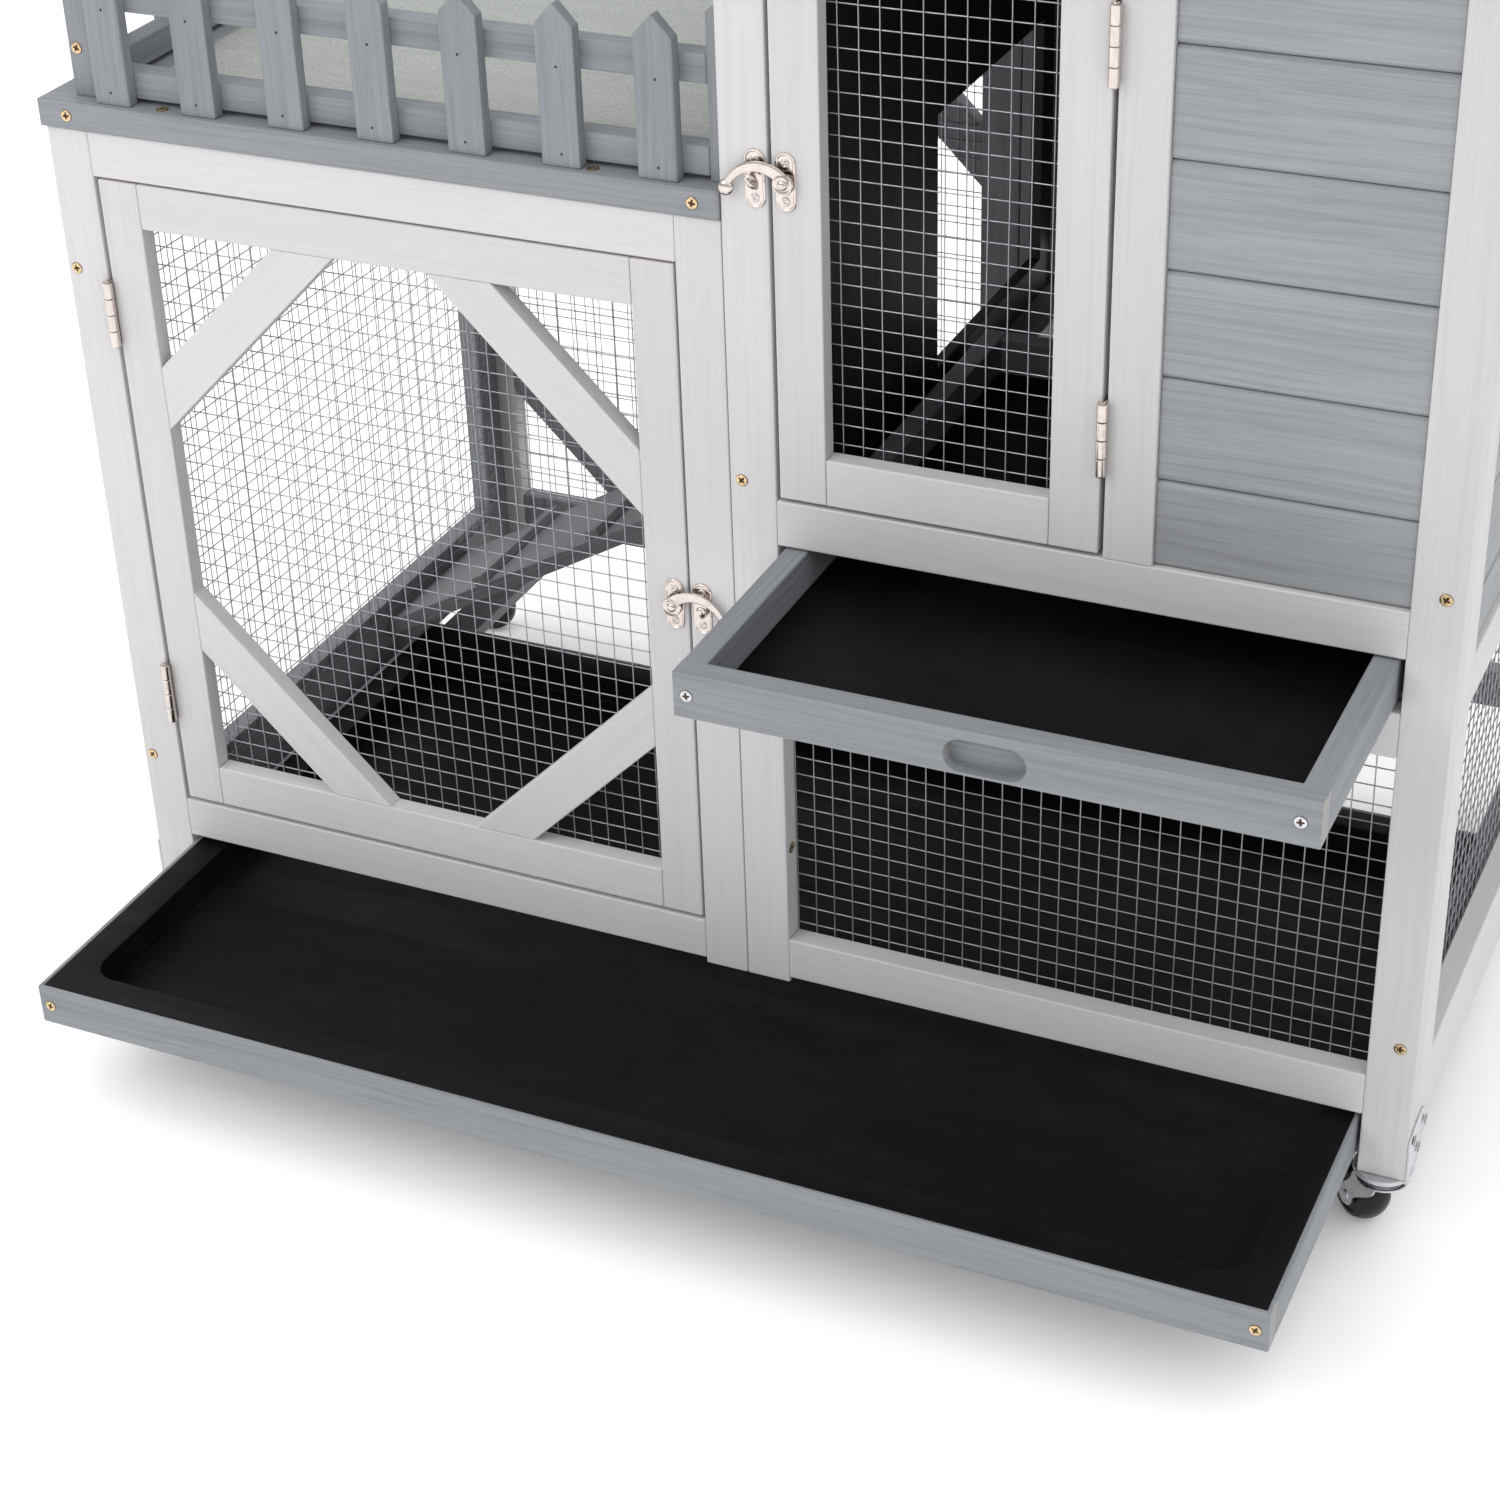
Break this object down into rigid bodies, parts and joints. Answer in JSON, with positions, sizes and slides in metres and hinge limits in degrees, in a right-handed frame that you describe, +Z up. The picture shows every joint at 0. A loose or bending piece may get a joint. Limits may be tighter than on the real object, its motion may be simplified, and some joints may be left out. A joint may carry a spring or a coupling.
{
  "type": "rabbit hutch",
  "caption": "Wooden rabbit hutch on casters: mesh run with terrace and picket fence, taller house, ramp inside, hinged mesh doors, lift-up roof and pull-out trays.",
  "frame": {"origin": "bottom centre of the bounding box at rest, on the floor the wheels stand on", "axes": "+X to the house's side seen from the front, +Y to the back, +Z up"},
  "size_m": [0.9594, 0.744, 0.9011],
  "materials": {
    "white_wood": "whitewashed, fine grain",
    "grey_wood": "thin grey paint, fine grain",
    "siding": "thin grey paint, grooved boards",
    "dark_wall": "dark, matt",
    "galvanised_wire": "galvanised",
    "zinc": "zinc plated",
    "nickel": "nickel plated",
    "brass": "brass plated",
    "black_plastic": "matt",
    "wheel_plastic": "satin",
    "felt": "mineral granules"
  },
  "bodies": {
    "frame": {"post_front_left": "white_wood", "post_front_right": "white_wood", "post_back_left": "white_wood", "post_back_right": "white_wood", "run_post_front": "white_wood", "tower_post_front": "white_wood", "front_rails": "white_wood", "door_stile": "white_wood", "back_frame": "grey_wood", "left_side_frame": "white_wood", "left_side_mesh": "galvanised_wire", "right_side_frame": "white_wood", "right_side_mesh": "galvanised_wire", "front_siding": "siding", "back_tower_siding": "siding", "side_siding": "siding", "tower_left_frame": "grey_wood", "tower_left_wall": "dark_wall", "back_run_mesh": "galvanised_wire", "back_tower_mesh": "galvanised_wire", "lower_window_mesh": "galvanised_wire", "tray_runners": "grey_wood", "ramp": "grey_wood", "deck_boards": "grey_wood", "deck_felt": "felt", "fence_pickets": "grey_wood", "fence_frame": "grey_wood", "hinge_fixed_leaves": "nickel", "latch_catches": "nickel", "caster_brackets": "zinc", "frame_screws": "brass"},
    "run_door": {"run_door_frame": "white_wood", "run_door_braces": "white_wood", "run_door_mesh": "galvanised_wire", "run_door_hinge_leaves": "nickel", "run_latch_plate": "nickel"},
    "run_latch_arm": {"run_latch_arm": "nickel"},
    "upper_door": {"upper_door_frame": "white_wood", "upper_door_mesh": "galvanised_wire", "upper_door_hinge_leaves": "nickel", "upper_latch_plate": "nickel"},
    "upper_latch_arm": {"upper_latch_arm": "nickel"},
    "lower_tray": {"lower_tray_frame": "grey_wood", "lower_tray_pan": "black_plastic", "lower_tray_screws": "brass"},
    "upper_tray": {"upper_tray_front": "grey_wood", "upper_tray_sides": "grey_wood", "upper_tray_floor": "black_plastic", "upper_tray_screws": "zinc"},
    "roof": {"roof_panel": "grey_wood", "roof_felt": "felt", "roof_hinge_leaves": "nickel"},
    "fork_front_left": {"caster_fork_front_left": "zinc"},
    "wheel_front_left": {"caster_wheel_front_left": "wheel_plastic"},
    "fork_front_right": {"caster_fork_front_right": "zinc"},
    "wheel_front_right": {"caster_wheel_front_right": "wheel_plastic"},
    "fork_back_left": {"caster_fork_back_left": "zinc"},
    "wheel_back_left": {"caster_wheel_back_left": "wheel_plastic"},
    "fork_back_right": {"caster_fork_back_right": "zinc"},
    "wheel_back_right": {"caster_wheel_back_right": "wheel_plastic"}
  },
  "joints": [
    {"name": "run_door_hinge", "type": "hinge", "parent": "frame", "child": "run_door", "pos_m": [-0.42877, -0.18501, 0.36], "axis": [0, 0, -1], "range_deg": [0, 110]},
    {"name": "run_latch_turn", "type": "hinge", "parent": "run_door", "child": "run_latch_arm", "pos_m": [-0.03427, -0.18741, 0.363], "axis": [0, -1, 0], "range_deg": [0, 90]},
    {"name": "upper_door_hinge", "type": "hinge", "parent": "frame", "child": "upper_door", "pos_m": [0.23973, -0.18501, 0.64], "axis": [0, 0, 1], "range_deg": [0, 110]},
    {"name": "upper_latch_turn", "type": "hinge", "parent": "upper_door", "child": "upper_latch_arm", "pos_m": [0.04823, -0.18741, 0.6495], "axis": [0, 1, 0], "range_deg": [0, 90]},
    {"name": "lower_tray_slide", "type": "slide", "parent": "frame", "child": "lower_tray", "axis": [0, -1, 0], "range_m": [-0.18, 0.2]},
    {"name": "upper_tray_slide", "type": "slide", "parent": "frame", "child": "upper_tray", "axis": [0, -1, 0], "range_m": [-0.157, 0.2]},
    {"name": "roof_hinge", "type": "hinge", "parent": "frame", "child": "roof", "pos_m": [0.22973, 0.34859, 0.83451], "axis": [-1, 0, 0], "range_deg": [0, 100]},
    {"name": "swivel_front_left", "type": "hinge", "parent": "frame", "child": "fork_front_left", "pos_m": [-0.44427, -0.16881, 0.042], "axis": [0, 0, 1], "continuous": true},
    {"name": "roll_front_left", "type": "hinge", "parent": "fork_front_left", "child": "wheel_front_left", "pos_m": [-0.43527, -0.15323, 0.0195], "axis": [-0.866, 0.5, 0], "continuous": true},
    {"name": "swivel_front_right", "type": "hinge", "parent": "frame", "child": "fork_front_right", "pos_m": [0.43373, -0.16881, 0.042], "axis": [0, 0, 1], "continuous": true},
    {"name": "roll_front_right", "type": "hinge", "parent": "fork_front_right", "child": "wheel_front_right", "pos_m": [0.41994, -0.15724, 0.0195], "axis": [-0.6428, -0.766, 0], "continuous": true},
    {"name": "swivel_back_left", "type": "hinge", "parent": "frame", "child": "fork_back_left", "pos_m": [-0.44427, 0.32379, 0.042], "axis": [0, 0, 1], "continuous": true},
    {"name": "roll_back_left", "type": "hinge", "parent": "fork_back_left", "child": "wheel_back_left", "pos_m": [-0.46059, 0.31618, 0.0195], "axis": [0.4226, -0.9063, 0], "continuous": true},
    {"name": "swivel_back_right", "type": "hinge", "parent": "frame", "child": "fork_back_right", "pos_m": [0.43373, 0.32379, 0.042], "axis": [0, 0, 1], "continuous": true},
    {"name": "roll_back_right", "type": "hinge", "parent": "fork_back_right", "child": "wheel_back_right", "pos_m": [0.42757, 0.3407, 0.0195], "axis": [-0.9397, -0.342, 0], "continuous": true}
  ]
}
